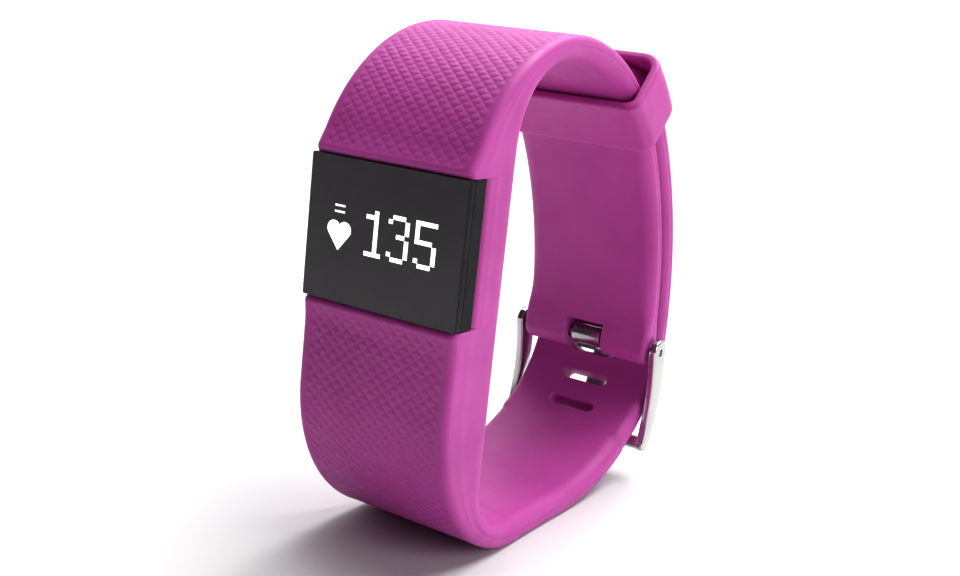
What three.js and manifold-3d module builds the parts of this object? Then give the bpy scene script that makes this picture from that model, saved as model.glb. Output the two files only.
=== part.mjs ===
// Wrist activity tracker on a silicone band, closed and standing on its lower strap.
// Millimetres, +Z up. X is the wearer's arm, the display faces -Y, the wrist opening runs along X.
// The origin is the middle of the bottom of the whole part.
import * as THREE from 'three';
import { mergeVertices } from 'three/addons/utils/BufferGeometryUtils.js';
import Module from 'manifold-3d';

const wasm = await Module();
wasm.setup();

const RAD = Math.PI / 180;

// ---------------------------------------------------------------- driving sizes
const bandWidth = 20;            // across the arm at the display
const strapWidth = 19;           // across the arm from the crest to the buckle
const strapThickness = 3;
const taperStart = 6;            // depth behind the display where the band starts to narrow
const taperEnd = 26;             // depth where it has reached the strap width
const edgeRound = 1.1;

const displayHeight = 15.4;
const displayDepth = 3;          // how much of the block shows at the side
const lensThickness = 0.9;
const lensRound = 0.25;
const displayProud = 0.3;        // display face in front of the silicone
const moduleClearance = 0.1;

const podDepth = 9.4;            // display face to the wrist side of the thick part
const chinLength = 9.5;          // straight silicone below the display
const upperPodFillet = 9;
const lowerPodFillet = 6.5;

// side view of the upper strap, from the top of the display to the spring bar
const browLean = 18;             // degrees from upright where it leaves the display
const browRadius = 21.2;
const crownRadius = 26.5;
const crownTurn = 55.8;
const backRadius = 52.4;
const backTurn = 31.6;

// side view of the lower strap, from the chin to the bottom of the buckle
const chinRadius = 19;
const chinTurn = 75;
const heelRadius = 14;           // short blend into the flat underside
const rearRadius = 32;
const rearTurn = 35;

const eyeToTail = 0.43;          // free space between the spring bar's eye and the tail behind it
const tailToStrap = 0.35;        // free space between the two straps inside the keeper
const tailTipHeading = 125;      // heading of the upper strap beside the tail's tip
const tailTipLength = 5;

const cutMargin = 0.3;           // how far a cut runs on past the strap's faces
const slotLength = 6.8;
const slotWidth = 1.9;
const slotPitch = 5.4;
const slotsBelowBuckle = 2;
const slotsOnTail = 7;
const slotRadial = 15;           // heading of the strap at the slot that holds the tongue

const keeperLength = 7.8;
const keeperWall = 1.2;
const keeperClearance = 0.25;
const keeperHeading = 133.3;       // heading of the upper strap at the middle of the keeper
const keeperRound = 0.8;

const tubeRadius = 0.75;
const tubeBore = 0.55;
const tubeLip = 0.45;
const tubeLipLength = 0.4;
const tubeSetback = 0.2;         // tube end inside the strap edge
const tipRadius = 0.38;
const tipHeadRadius = 0.48;
const tipHeadLength = 2;
const springWire = 0.09;
const springRadius = 0.36;
const springTurns = 12;
const springRoom = 0.95;          // free length in which the tips can be pressed together
const pinClearance = 0.12;
const eyeWall = 1.2;
const eyeDrop = 2;               // spring bar below the end of the plain strap

const frameGap = 0.4;            // strap edge to the inside of an arm
const armThickness = 1.1;
const armTopRadius = 1.75;
const armBottomWidth = 2.1;
const armBow = 0.9;
const armRound = 0.25;
const buckleReach = 13;          // spring bar to outer bar
const barRadius = 0.95;
const barClearance = 0.35;
const tongueNotch = 0.35;        // recess for the tongue in the outer bar
const tongueRest = 0.3;          // free space between the tongue and the recess

const tongueWidth = 3;
const tongueThickness = 0.9;
const tongueClearance = 0.35;
const tongueBend = 0.9;
const tongueOverhang = 2.5;      // degrees beyond the outer bar
const barrelWidth = 4.4;
const barrelWall = 0.5;
const barrelGap = 0.6;           // barrel side to the notch in the strap

// tracker module
const tubWidth = 16.4;
const tubHeight = 14.2;
const tubWall = 0.8;
const tubFloorDepth = 8.4;       // outside of the floor behind the display face
const gasketThickness = 0.4;
const gasketWidth = 0.8;
const padWidth = 12;
const padHeight = 9.6;
const padProud = 0.2;
const padRound = 1.2;
const bezelSide = 2.5;
const bezelTop = 2.2;
const oledThickness = 1.2;
const oledMargin = 0.2;
const flexWidth = 6;
const flexThickness = 0.2;
const boardWidth = 14.4;
const boardHeight = 12.2;
const boardThickness = 0.8;
const boardDepth = 3.5;          // front of the main board behind the display face
const processorSide = 5;
const processorHeight = 0.9;
const sensorChipSide = 2;
const sensorChipHeight = 0.8;
const antennaLength = 3.2;
const antennaWidth = 1.2;
const antennaHeight = 0.9;
const batteryWidth = 7.8;
const batteryHeight = 11.6;
const batteryThickness = 2.7;
const motorRadius = 2.9;
const motorThickness = 2.2;
const opticBoardWidth = 11.2;
const opticBoardHeight = 8;
const opticBoardThickness = 0.5;
const ledSide = 1;
const ledHeight = 0.7;
const ledOffset = 1.55;
const diodeSide = 1.6;
const windowWidth = 5.4;
const windowHeight = 6.2;
const windowThickness = 0.6;
const windowLedge = 0.6;
const contactRadius = 0.9;
const contactOffset = 4.6;

// ---------------------------------------------------------------- side-view paths
// Poses are [y, z, heading]; a heading turns from +Z towards +Y, in degrees.
const sin = (a) => Math.sin(a * RAD);
const cos = (a) => Math.cos(a * RAD);

// One straight or curved stretch. A positive radius bends clockwise in the side view.
function stretch(pose, move) {
  const [y, z, a] = pose;
  if (move.run !== undefined) {
    return { pose, length: move.run, at: (s) => [y + s * sin(a), z + s * cos(a), a] };
  }
  const r = move.radius;
  const at = (s) => {
    const b = a + (s / r) / RAD;
    return [y + r * (cos(a) - cos(b)), z + r * (sin(b) - sin(a)), b];
  };
  return { pose, length: Math.abs(r) * move.turn * RAD, at };
}

class Path {
  constructor(start, moves) {
    this.stretches = [];
    let pose = start;
    for (const move of moves) {
      const piece = stretch(pose, move);
      this.stretches.push({ ...piece, from: this.length ?? 0, turn: move.turn ?? 0 });
      this.length = (this.length ?? 0) + piece.length;
      pose = piece.at(piece.length);
    }
    this.end = pose;
  }

  at(s) {
    const last = this.stretches.length - 1;
    const k = this.stretches.findIndex((p, i) => s <= p.from + p.length || i === last);
    const p = this.stretches[k];
    return p.at(s - p.from);
  }

  // Distances that show the shape between two distances, closer on tight curves.
  stops(s0, s1, degrees = 5) {
    const list = [s0];
    for (const p of this.stretches) {
      const n = Math.max(1, Math.ceil(p.turn / degrees));
      for (let i = 0; i <= n; i += 1) {
        list.push(p.from + (p.length * i) / n);
      }
    }
    list.push(s1);
    const inside = list.filter((s) => s >= s0 && s <= s1).sort((a, b) => a - b);
    return inside.filter((s, i) => i === 0 || s - inside[i - 1] > 0.05);
  }

  // The line that runs a given distance to the right of the path.
  side(right, s0 = 0, s1 = this.length) {
    return this.stops(s0, s1).map((s) => {
      const [y, z, a] = this.at(s);
      return [y + right * cos(a), z - right * sin(a)];
    });
  }

  // Distance at which a stretch reaches a heading.
  reach(index, heading) {
    const p = this.stretches[index];
    return p.from + (p.length * Math.abs(heading - p.pose[2])) / p.turn;
  }
}

// The tail clears the eye around the spring bar, which is thicker than the strap.
const eyeBore = tubeRadius + pinClearance;
const eyeRadius = eyeBore + eyeWall;
const tailGap = eyeRadius - strapThickness / 2 + eyeToTail;

const notchHalf = displayHeight / 2 + moduleClearance;
const upper = new Path([displayProud, notchHalf, browLean], [
  { radius: browRadius, turn: 90 - browLean },
  { radius: crownRadius, turn: crownTurn },
  { radius: backRadius, turn: backTurn },
]);
const [endY, endZ, endHeading] = upper.end;

// The lower strap closes on the outside of the upper one, so its last bend and its flat
// underside follow from where the tail has to start.
const tailOffset = tailGap + strapThickness;
const tailStart = [endY - tailOffset * cos(endHeading), endZ + tailOffset * sin(endHeading)];
const tailHeading = endHeading - 180;
const chinBottom = -notchHalf - chinLength;
const heelTurn = 90 - chinTurn;
const rearHeading = 90 - rearTurn;
const floorZ = chinBottom - chinRadius * sin(chinTurn) - heelRadius * (1 - sin(chinTurn));
const bendRadius = (tailStart[1] - floorZ - rearRadius * (1 - sin(rearHeading)))
  / (sin(rearHeading) - sin(tailHeading));
const bendTurn = rearHeading - tailHeading;
const flatStart = displayProud + chinRadius * (1 - cos(chinTurn)) + heelRadius * cos(chinTurn);
const flatRun = tailStart[0] - flatStart - rearRadius * cos(rearHeading)
  - bendRadius * (cos(tailHeading) - cos(rearHeading));

// Centre of the circle that a stretch follows.
function centreOf(path, index, radius) {
  const [y, z, a] = path.stretches[index].pose;
  return [y + radius * cos(a), z - radius * sin(a)];
}

// The tail closes in on the upper strap: its back arc ends in the arc that it follows
// around the crown inside the keeper.
const crownCentre = centreOf(upper, 1, crownRadius);
const hugRadius = crownRadius + strapThickness + tailToStrap;
const towardsStrap = [-cos(tailHeading), sin(tailHeading)];
const fromCrown = [tailStart[0] - crownCentre[0], tailStart[1] - crownCentre[1]];
const tailBackRadius = (hugRadius ** 2 - Math.hypot(...fromCrown) ** 2)
  / (2 * (fromCrown[0] * towardsStrap[0] + fromCrown[1] * towardsStrap[1] + hugRadius));
const tailBackCentre = [
  tailStart[0] + tailBackRadius * towardsStrap[0],
  tailStart[1] + tailBackRadius * towardsStrap[1],
];
const hugHeading = Math.atan2(
  -(crownCentre[1] - tailBackCentre[1]),
  crownCentre[0] - tailBackCentre[0],
) / RAD;
const lower = new Path([displayProud, -notchHalf, 180], [
  { run: chinLength },
  { radius: -chinRadius, turn: chinTurn },
  { radius: -heelRadius, turn: heelTurn },
  { run: flatRun },
  { radius: -rearRadius, turn: rearTurn },
  { radius: -bendRadius, turn: bendTurn },
  { radius: -tailBackRadius, turn: tailHeading - hugHeading },
  { radius: -hugRadius, turn: hugHeading - (tailTipHeading - 180) },
]);

// A fillet between the upright wrist side of the pod and the inside of a strap circle.
function podFillet(centre, faceRadius, fillet, up) {
  const y = podDepth + fillet - centre[0];
  const reach = faceRadius - strapThickness - fillet;
  const z = up * Math.sqrt(reach * reach - y * y);
  const middle = [centre[0] + y, centre[1] + z];
  const meet = Math.atan2(Math.abs(z), -y) / RAD;
  const points = [];
  const steps = 8;
  for (let i = 0; i <= steps; i += 1) {
    const t = (meet * i) / steps;
    points.push([middle[0] - fillet * cos(t), middle[1] + up * fillet * sin(t)]);
  }
  return { points, meet };
}

const browCentre = centreOf(upper, 0, browRadius);
const chinCentre = centreOf(lower, 1, -chinRadius);
const bendCentre = centreOf(lower, 5, -bendRadius);
const topFillet = podFillet(browCentre, browRadius, upperPodFillet, 1);
const bottomFillet = podFillet(chinCentre, chinRadius, lowerPodFillet, -1);
const innerUpperStart = upper.reach(0, topFillet.meet);
const innerLowerStart = lower.reach(1, 180 - bottomFillet.meet);

// Half of the band's width at a depth behind the display.
function halfWidth(y) {
  const t = Math.min(1, Math.max(0, (y - taperStart) / (taperEnd - taperStart)));
  const smooth = t * t * (3 - 2 * t);
  return (bandWidth + (strapWidth - bandWidth) * smooth) / 2;
}

// ---------------------------------------------------------------- solids
const alongX = new THREE.Matrix4().makeBasis(
  new THREE.Vector3(0, 1, 0),
  new THREE.Vector3(0, 0, 1),
  new THREE.Vector3(1, 0, 0),
);

function toSolid(geometry) {
  const g = geometry.clone();
  g.deleteAttribute('normal');
  g.deleteAttribute('uv');
  const merged = mergeVertices(g, 1e-5);
  return new wasm.Manifold(new wasm.Mesh({
    numProp: 3,
    vertProperties: Float32Array.from(merged.attributes.position.array),
    triVerts: Uint32Array.from(merged.index.array),
  }));
}

function toGeometry(solid) {
  const mesh = solid.getMesh();
  const g = new THREE.BufferGeometry();
  g.setAttribute('position', new THREE.BufferAttribute(Float32Array.from(mesh.vertProperties), 3));
  g.setIndex(Array.from(mesh.triVerts));
  g.computeVertexNormals();
  return g;
}

// Side-view outline [y, z] pulled out along X; round takes the edges off both ends.
function prismX(outline, x0, x1, round = 0, steps = 3) {
  const shape = outline instanceof THREE.Shape
    ? outline
    : new THREE.Shape(outline.map(([y, z]) => new THREE.Vector2(y, z)));
  const g = new THREE.ExtrudeGeometry(shape, {
    depth: x1 - x0 - 2 * round,
    bevelEnabled: round > 0,
    bevelSize: round,
    bevelOffset: -round,
    bevelThickness: round,
    bevelSegments: steps,
    curveSegments: 12,
  });
  g.translate(0, 0, x0 + round);
  g.applyMatrix4(alongX);
  return g;
}

// Rounded rectangle seen from the front, pulled back along Y.
function slab(width, height, y0, y1, { round = 0, corner = 0, x = 0, z = 0 } = {}) {
  const w = width / 2;
  const h = height / 2;
  const c = corner;
  const shape = new THREE.Shape();
  shape.moveTo(-w + c, -h);
  shape.lineTo(w - c, -h);
  if (c > 0) shape.absarc(w - c, -h + c, c, -Math.PI / 2, 0);
  shape.lineTo(w, h - c);
  if (c > 0) shape.absarc(w - c, h - c, c, 0, Math.PI / 2);
  shape.lineTo(-w + c, h);
  if (c > 0) shape.absarc(-w + c, h - c, c, Math.PI / 2, Math.PI);
  shape.lineTo(-w, -h + c);
  if (c > 0) shape.absarc(-w + c, -h + c, c, Math.PI, 1.5 * Math.PI);
  const g = new THREE.ExtrudeGeometry(shape, {
    depth: y1 - y0 - 2 * round,
    bevelEnabled: round > 0,
    bevelSize: round,
    bevelOffset: -round,
    bevelThickness: round,
    bevelSegments: 2,
    curveSegments: 3,
  });
  g.translate(0, 0, -(y1 - round));
  g.rotateX(Math.PI / 2);
  g.translate(x, 0, z);
  return g;
}

function rodX(y, z, radius, x0, x1, segments = 24) {
  const g = new THREE.CylinderGeometry(radius, radius, x1 - x0, segments);
  g.rotateZ(-Math.PI / 2);
  g.translate((x0 + x1) / 2, y, z);
  return g;
}

function rodY(x, z, radius, y0, y1, segments = 24) {
  const g = new THREE.CylinderGeometry(radius, radius, y1 - y0, segments);
  g.translate(x, (y0 + y1) / 2, z);
  return g;
}

function box(x0, x1, y0, y1, z0, z1) {
  const g = new THREE.BoxGeometry(x1 - x0, y1 - y0, z1 - z0);
  g.translate((x0 + x1) / 2, (y0 + y1) / 2, (z0 + z1) / 2);
  return g;
}

function cut(solid, ...tools) {
  return tools.reduce((rest, tool) => rest.subtract(toSolid(tool)), solid);
}

// ---------------------------------------------------------------- spring bar position
const eyeY = endY + (strapThickness / 2) * cos(endHeading) + eyeDrop * sin(endHeading);
const eyeZ = endZ - (strapThickness / 2) * sin(endHeading) + eyeDrop * cos(endHeading);
const strapHalf = strapWidth / 2;

// ---------------------------------------------------------------- silicone band
const outline = [
  ...upper.side(0).reverse(),
  ...lower.side(0),
  ...lower.side(-strapThickness, innerLowerStart).reverse(),
  ...bottomFillet.points.reverse(),
  ...topFillet.points,
  ...upper.side(strapThickness, innerUpperStart),
];

// Neighbouring outline points that are nearly the same are one point.
function tidy(points) {
  return points.filter((p, i) => {
    const q = points[(i + 1) % points.length];
    return Math.hypot(p[0] - q[0], p[1] - q[1]) > 0.08;
  });
}

function narrow(geometry) {
  const p = geometry.attributes.position;
  for (let i = 0; i < p.count; i += 1) {
    p.setX(i, (p.getX(i) * halfWidth(p.getY(i))) / (bandWidth / 2));
  }
  return geometry;
}

// Turns a tool made around the origin (length along Z, depth along Y) onto a pose of the strap.
function onStrap(geometry, [y, z, a], right) {
  geometry.rotateX(-a * RAD);
  geometry.translate(0, y + right * cos(a), z - right * sin(a));
  return geometry;
}

function slotTool(pose) {
  const reach = strapThickness / 2 + cutMargin;
  const tool = slab(slotLength, slotWidth, -reach, reach, { corner: slotWidth / 2 - 0.02 });
  return onStrap(tool, pose, -strapThickness / 2);
}

// Rounds the free end of the tail: what lies outside a half ellipse is cut away.
function tailTool() {
  const w = strapHalf + 1;
  const shape = new THREE.Shape();
  shape.moveTo(-w, -tailTipLength);
  shape.lineTo(-w, 1);
  shape.lineTo(w, 1);
  shape.lineTo(w, -tailTipLength);
  shape.lineTo(strapHalf, -tailTipLength);
  shape.absellipse(0, -tailTipLength, strapHalf, tailTipLength - 0.05, 0, Math.PI);
  const g = new THREE.ExtrudeGeometry(shape, {
    depth: strapThickness + 2 * cutMargin,
    bevelEnabled: false,
    curveSegments: 16,
  });
  g.translate(0, 0, -strapThickness / 2 - cutMargin);
  g.rotateX(Math.PI / 2);
  g.translate(0, 0, tailTipLength / 2);
  return onStrap(g, lower.at(lower.length - tailTipLength / 2), -strapThickness / 2);
}

const tongueSlotAt = lower.reach(5, slotRadial);
const slotStations = [];
for (let i = -slotsBelowBuckle; i <= slotsOnTail; i += 1) {
  slotStations.push(tongueSlotAt + i * slotPitch);
}

const bayHalfX = tubWidth / 2 + moduleClearance;
const bayHalfZ = tubHeight / 2 + moduleClearance;
const ledgeDepth = tubFloorDepth + moduleClearance;
const padHalfX = padWidth / 2 + moduleClearance;
const padHalfZ = padHeight / 2 + moduleClearance;
const barrelHalf = barrelWidth / 2;
const notchX = barrelHalf + barrelGap;
const far = 100;

const bandBlank = toSolid(narrow(prismX(tidy(outline), -bandWidth / 2, bandWidth / 2, edgeRound, 2)))
  .add(toSolid(rodX(eyeY, eyeZ, eyeRadius, -strapHalf + edgeRound / 2, strapHalf - edgeRound / 2)));
const bandBody = cut(
  bandBlank,
  box(-far, far, -1, displayDepth + moduleClearance, -notchHalf, notchHalf),
  box(-bayHalfX, bayHalfX, 0, ledgeDepth, -bayHalfZ, bayHalfZ),
  box(-padHalfX, padHalfX, 0, podDepth + 1, -padHalfZ, padHalfZ),
  rodX(eyeY, eyeZ, eyeBore, -far, far),
  box(-notchX, notchX, eyeY - eyeRadius - 1, eyeY + eyeRadius + barrelGap / 3,
    eyeZ - eyeRadius - 1, eyeZ + eyeRadius + barrelGap / 2),
  ...slotStations.map((s) => slotTool(lower.at(s))),
  tailTool(),
);

// ---------------------------------------------------------------- keeper loop
// Its walls follow the strap's circle, and its two end faces are parallel.
function block(inner, outer, half) {
  const points = [];
  const steps = 6;
  const place = (radius, t) => {
    const a = keeperHeading + Math.asin((half * t) / radius) / RAD;
    points.push([crownCentre[0] - radius * cos(a), crownCentre[1] + radius * sin(a)]);
  };
  for (let i = 0; i <= steps; i += 1) place(outer, (2 * i) / steps - 1);
  for (let i = steps; i >= 0; i -= 1) place(inner, (2 * i) / steps - 1);
  return points;
}

const loopInner = crownRadius - strapThickness - keeperClearance;
const loopOuter = hugRadius + keeperClearance;
const loopHalf = strapHalf + keeperClearance;
const keeper = cut(
  toSolid(prismX(block(loopInner - keeperWall, loopOuter + keeperWall, keeperLength / 2),
    -loopHalf - keeperWall, loopHalf + keeperWall, keeperRound)),
  prismX(block(loopInner, loopOuter, keeperLength / 2 + 1.5), -loopHalf, loopHalf),
);

// ---------------------------------------------------------------- buckle
const armInner = strapHalf + frameGap;
const armOuter = armInner + armThickness;

// The outer bar lies beside the outside of the lower strap, at the buckle's reach from the
// spring bar. Its place along the strap is found by halving.
function besideStrap(s) {
  const [y, z, a] = lower.at(s);
  const away = barClearance + barRadius;
  return [y + away * cos(a), z - away * sin(a)];
}

function barPlace() {
  let before = lower.stretches[4].from;
  let after = lower.reach(5, slotRadial);
  for (let i = 0; i < 40; i += 1) {
    const middle = (before + after) / 2;
    const [y, z] = besideStrap(middle);
    if (Math.hypot(y - eyeY, z - eyeZ) > buckleReach) before = middle;
    else after = middle;
  }
  return besideStrap(after);
}

const [barY, barZ] = barPlace();
const barOrbit = Math.hypot(barY - bendCentre[0], barZ - bendCentre[1]);
const barHeading = Math.atan2(-(barZ - bendCentre[1]), barY - bendCentre[0]) / RAD;

function armShape() {
  const dy = barY - eyeY;
  const dz = barZ - eyeZ;
  const length = Math.hypot(dy, dz);
  const along = [dy / length, dz / length];
  const out = [-along[1], along[0]];
  const place = (u, v) => [eyeY + along[0] * u + out[0] * v, eyeZ + along[1] * u + out[1] * v];
  const points = [];
  const steps = 10;
  for (let i = 0; i <= steps; i += 1) {
    const u = (length * i) / steps;
    const half = armTopRadius + (armBottomWidth / 2 - armTopRadius) * (i / steps);
    points.push(place(u, half + armBow * Math.sin((Math.PI * i) / steps)));
  }
  for (let i = 1; i < 6; i += 1) {
    const t = 90 - 30 * i;
    points.push(place(length + (armBottomWidth / 2) * cos(t), (armBottomWidth / 2) * sin(t)));
  }
  for (let i = steps; i >= 0; i -= 1) {
    const u = (length * i) / steps;
    const half = armTopRadius + (armBottomWidth / 2 - armTopRadius) * (i / steps);
    points.push(place(u, -half + armBow * Math.sin((Math.PI * i) / steps)));
  }
  for (let i = 1; i < 12; i += 1) {
    const t = 270 - 15 * i;
    points.push(place(armTopRadius * cos(t), armTopRadius * sin(t)));
  }
  return points;
}

const armBore = tipRadius + pinClearance;
const tongueOrbit = bendRadius + tongueClearance + tongueThickness / 2;
const frameBlank = toSolid(prismX(tidy(armShape()), armInner, armOuter, armRound, 2))
  .add(toSolid(prismX(tidy(armShape()), -armOuter, -armInner, armRound, 2)))
  .add(toSolid(rodX(barY, barZ, barRadius, -armInner - armThickness / 2,
    armInner + armThickness / 2)));

// Ring sector about the centre of the lower bend, between two headings.
function bendSector(inner, outer, h0, h1, steps = 10) {
  const points = [];
  const place = (r, h) => [bendCentre[0] + r * cos(h), bendCentre[1] - r * sin(h)];
  for (let i = 0; i <= steps; i += 1) points.push(place(outer, h0 + ((h1 - h0) * i) / steps));
  for (let i = steps; i >= 0; i -= 1) points.push(place(inner, h0 + ((h1 - h0) * i) / steps));
  return points;
}

// The tongue lies on the bar in a shallow recess, and rises with it to the outside.
const notchOrbit = barOrbit + barRadius - tongueNotch;
const frame = cut(
  frameBlank,
  prismX(bendSector(notchOrbit, notchOrbit + 3, barHeading - 12, barHeading + 12),
    -tongueWidth / 2 - 0.3, tongueWidth / 2 + 0.3),
  rodX(eyeY, eyeZ, armBore, -far, far),
);

// ---------------------------------------------------------------- tongue
// From the barrel it goes straight through the slot, bends, and runs down outside the strap.
function tongueOutline() {
  const half = tongueThickness / 2;
  const tipOrbit = notchOrbit + tongueRest + half;
  const outerStart = slotRadial + ((tongueBend + half) / tongueOrbit) / RAD;
  const innerStart = slotRadial + (half / (tongueOrbit - half)) / RAD;
  const h1 = barHeading + tongueOverhang;
  const radial = [cos(slotRadial), -sin(slotRadial)];
  const down = [-sin(slotRadial), -cos(slotRadial)];
  const place = (r, v) => [
    bendCentre[0] + radial[0] * r + down[0] * v,
    bendCentre[1] + radial[1] * r + down[1] * v,
  ];
  const root = (eyeY - bendCentre[0]) * radial[0] + (eyeZ - bendCentre[1]) * radial[1];
  const orbit = (t) => tongueOrbit + (tipOrbit - tongueOrbit) * t * t * (3 - 2 * t);
  const outer = [];
  const inner = [];
  const steps = 12;
  for (let i = 0; i <= steps; i += 1) {
    const r = orbit(i / steps);
    const ho = outerStart + ((h1 - outerStart) * i) / steps;
    const hi = innerStart + ((h1 - innerStart) * i) / steps;
    outer.push([bendCentre[0] + (r + half) * cos(ho), bendCentre[1] - (r + half) * sin(ho)]);
    inner.push([bendCentre[0] + (r - half) * cos(hi), bendCentre[1] - (r - half) * sin(hi)]);
  }
  const knee = [];
  const kneeRadius = tongueBend + half;
  const kneeR = tongueOrbit - tongueBend;
  for (let i = 0; i < 5; i += 1) {
    const t = 18 * i;
    knee.push(place(kneeR + kneeRadius * sin(t), tongueBend - kneeRadius * cos(t)));
  }
  return [place(root, -half), ...knee, ...outer, ...inner.reverse(), place(root, half)];
}

const barrelBore = tubeRadius + pinClearance;
const tongue = cut(
  toSolid(prismX(tidy(tongueOutline()), -tongueWidth / 2, tongueWidth / 2, 0.2, 2))
    .add(toSolid(rodX(eyeY, eyeZ, barrelBore + barrelWall, -barrelHalf, barrelHalf, 28))),
  rodX(eyeY, eyeZ, barrelBore, -far, far, 28),
);

// ---------------------------------------------------------------- spring bar
const tubeHalf = strapHalf - tubeSetback;
function latheX(profile, segments = 20) {
  const g = new THREE.LatheGeometry(profile.map(([r, x]) => new THREE.Vector2(r, x)), segments);
  g.rotateZ(-Math.PI / 2);
  g.translate(0, eyeY, eyeZ);
  return g;
}

const tube = latheX([
  [tubeLip, -tubeHalf],
  [tubeRadius, -tubeHalf],
  [tubeRadius, tubeHalf],
  [tubeLip, tubeHalf],
  [tubeLip, tubeHalf - tubeLipLength],
  [tubeBore, tubeHalf - tubeLipLength],
  [tubeBore, -tubeHalf + tubeLipLength],
  [tubeLip, -tubeHalf + tubeLipLength],
  [tubeLip, -tubeHalf],
]);

const tipOut = armOuter - 0.1;
const tipShoulder = tubeHalf - tubeLipLength - 0.05;
const springHalf = tipShoulder - tipHeadLength - springRoom;
const tipProfile = [
  [0, tipShoulder - tipHeadLength],
  [tipHeadRadius, tipShoulder - tipHeadLength],
  [tipHeadRadius, tipShoulder],
  [tipRadius, tipShoulder],
  [tipRadius, tipOut - 0.15],
  [tipRadius - 0.15, tipOut],
  [0, tipOut],
];
const tipRight = latheX(tipProfile);
const tipLeft = latheX(tipProfile.map(([r, x]) => [r, -x]).reverse());

class Coil extends THREE.Curve {
  getPoint(t, target = new THREE.Vector3()) {
    const a = t * springTurns * 2 * Math.PI;
    return target.set(springHalf * (2 * t - 1), springRadius * Math.cos(a), springRadius * Math.sin(a));
  }
}

const wire = new THREE.Shape();
wire.absarc(0, 0, springWire, 0, 2 * Math.PI);
const spring = new THREE.ExtrudeGeometry(wire, {
  steps: springTurns * 7,
  curveSegments: 2,
  bevelEnabled: false,
  extrudePath: new Coil(),
});
spring.translate(0, eyeY, eyeZ);

// ---------------------------------------------------------------- tracker module
const rimDepth = displayDepth + gasketThickness;
const tubFloorInner = tubFloorDepth - tubWall;
const padDepth = podDepth + padProud;
const bezelOpenX = bandWidth - 2 * bezelSide;
const bezelOpenZ = displayHeight - 2 * bezelTop;
const frontCase = cut(
  toSolid(slab(bandWidth, displayHeight, lensThickness, displayDepth, { round: 0.15 })),
  slab(bezelOpenX, bezelOpenZ, lensThickness - 1, displayDepth + 1),
);
const lens = slab(bandWidth, displayHeight, 0, lensThickness, { round: lensRound });
const gasket = cut(
  toSolid(slab(tubWidth, tubHeight, displayDepth, rimDepth)),
  slab(tubWidth - 2 * gasketWidth, tubHeight - 2 * gasketWidth, displayDepth - 1, rimDepth + 1),
);
const contactBore = contactRadius + 0.05;
const rearCase = cut(
  toSolid(slab(tubWidth, tubHeight, rimDepth, tubFloorDepth, { round: 0.2 }))
    .add(toSolid(slab(padWidth, padHeight, tubFloorDepth - 0.4, padDepth, { corner: padRound }))),
  slab(tubWidth - 2 * tubWall, tubHeight - 2 * tubWall, rimDepth - 1, tubFloorInner),
  slab(windowWidth, windowHeight, padDepth - windowThickness, padDepth + 1),
  slab(windowWidth - 2 * windowLedge, windowHeight - 2 * windowLedge, tubFloorInner - 1, padDepth),
  rodY(contactOffset, 0, contactBore, tubFloorInner - 1, padDepth + 1, 20),
  rodY(-contactOffset, 0, contactBore, tubFloorInner - 1, padDepth + 1, 20),
);

const oledWidth = bezelOpenX - 2 * oledMargin;
const oledHeight = bezelOpenZ - 2 * oledMargin;
const oledBack = lensThickness + oledThickness;
const oled = slab(oledWidth, oledHeight, lensThickness, oledBack);

// Ribbon from the back of the display panel down to the front of the main board.
const flexTop = -oledHeight / 2 + 2.6;
const flexLow = -oledHeight / 2 + 0.4;
const flexOutline = [
  [oledBack, flexTop],
  [oledBack + flexThickness, flexTop],
  [oledBack + flexThickness, flexLow + flexThickness],
  [boardDepth - flexThickness, flexLow + flexThickness],
  [boardDepth - flexThickness, flexTop],
  [boardDepth, flexTop],
  [boardDepth, flexLow],
  [oledBack, flexLow],
];
const flex = prismX(flexOutline, -flexWidth / 2, flexWidth / 2);

const boardBack = boardDepth + boardThickness;
const batteryBack = boardBack + batteryThickness;
const opticBack = batteryBack + opticBoardThickness;
const roomHalfX = tubWidth / 2 - tubWall;
const board = slab(boardWidth, boardHeight, boardDepth, boardBack);
const processor = slab(processorSide, processorSide, boardDepth - processorHeight, boardDepth,
  { x: -3.4, z: 1.6 });
const motionChip = slab(sensorChipSide, sensorChipSide, boardDepth - sensorChipHeight, boardDepth,
  { x: 1.4, z: 2.4 });
const antenna = slab(antennaLength, antennaWidth, boardDepth - antennaHeight, boardDepth,
  { x: 5, z: 4.2 });
const battery = slab(batteryWidth, batteryHeight, boardBack, batteryBack,
  { x: -roomHalfX + batteryWidth / 2 + 0.2, corner: 0.6 });
const motor = rodY(roomHalfX - motorRadius - 0.2, 0, motorRadius, boardBack,
  boardBack + motorThickness, 32);
const opticBoard = slab(opticBoardWidth, opticBoardHeight, batteryBack, opticBack);
const led = (z) => slab(ledSide, ledSide, opticBack, opticBack + ledHeight, { z });
const diode = slab(diodeSide, diodeSide, opticBack, opticBack + ledHeight);
const sensorWindow = slab(windowWidth - 0.1, windowHeight - 0.1, padDepth - windowThickness,
  padDepth, { round: 0.1 });
const contact = (x) => rodY(x, 0, contactRadius, opticBack, padDepth + 0.05, 20);

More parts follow.
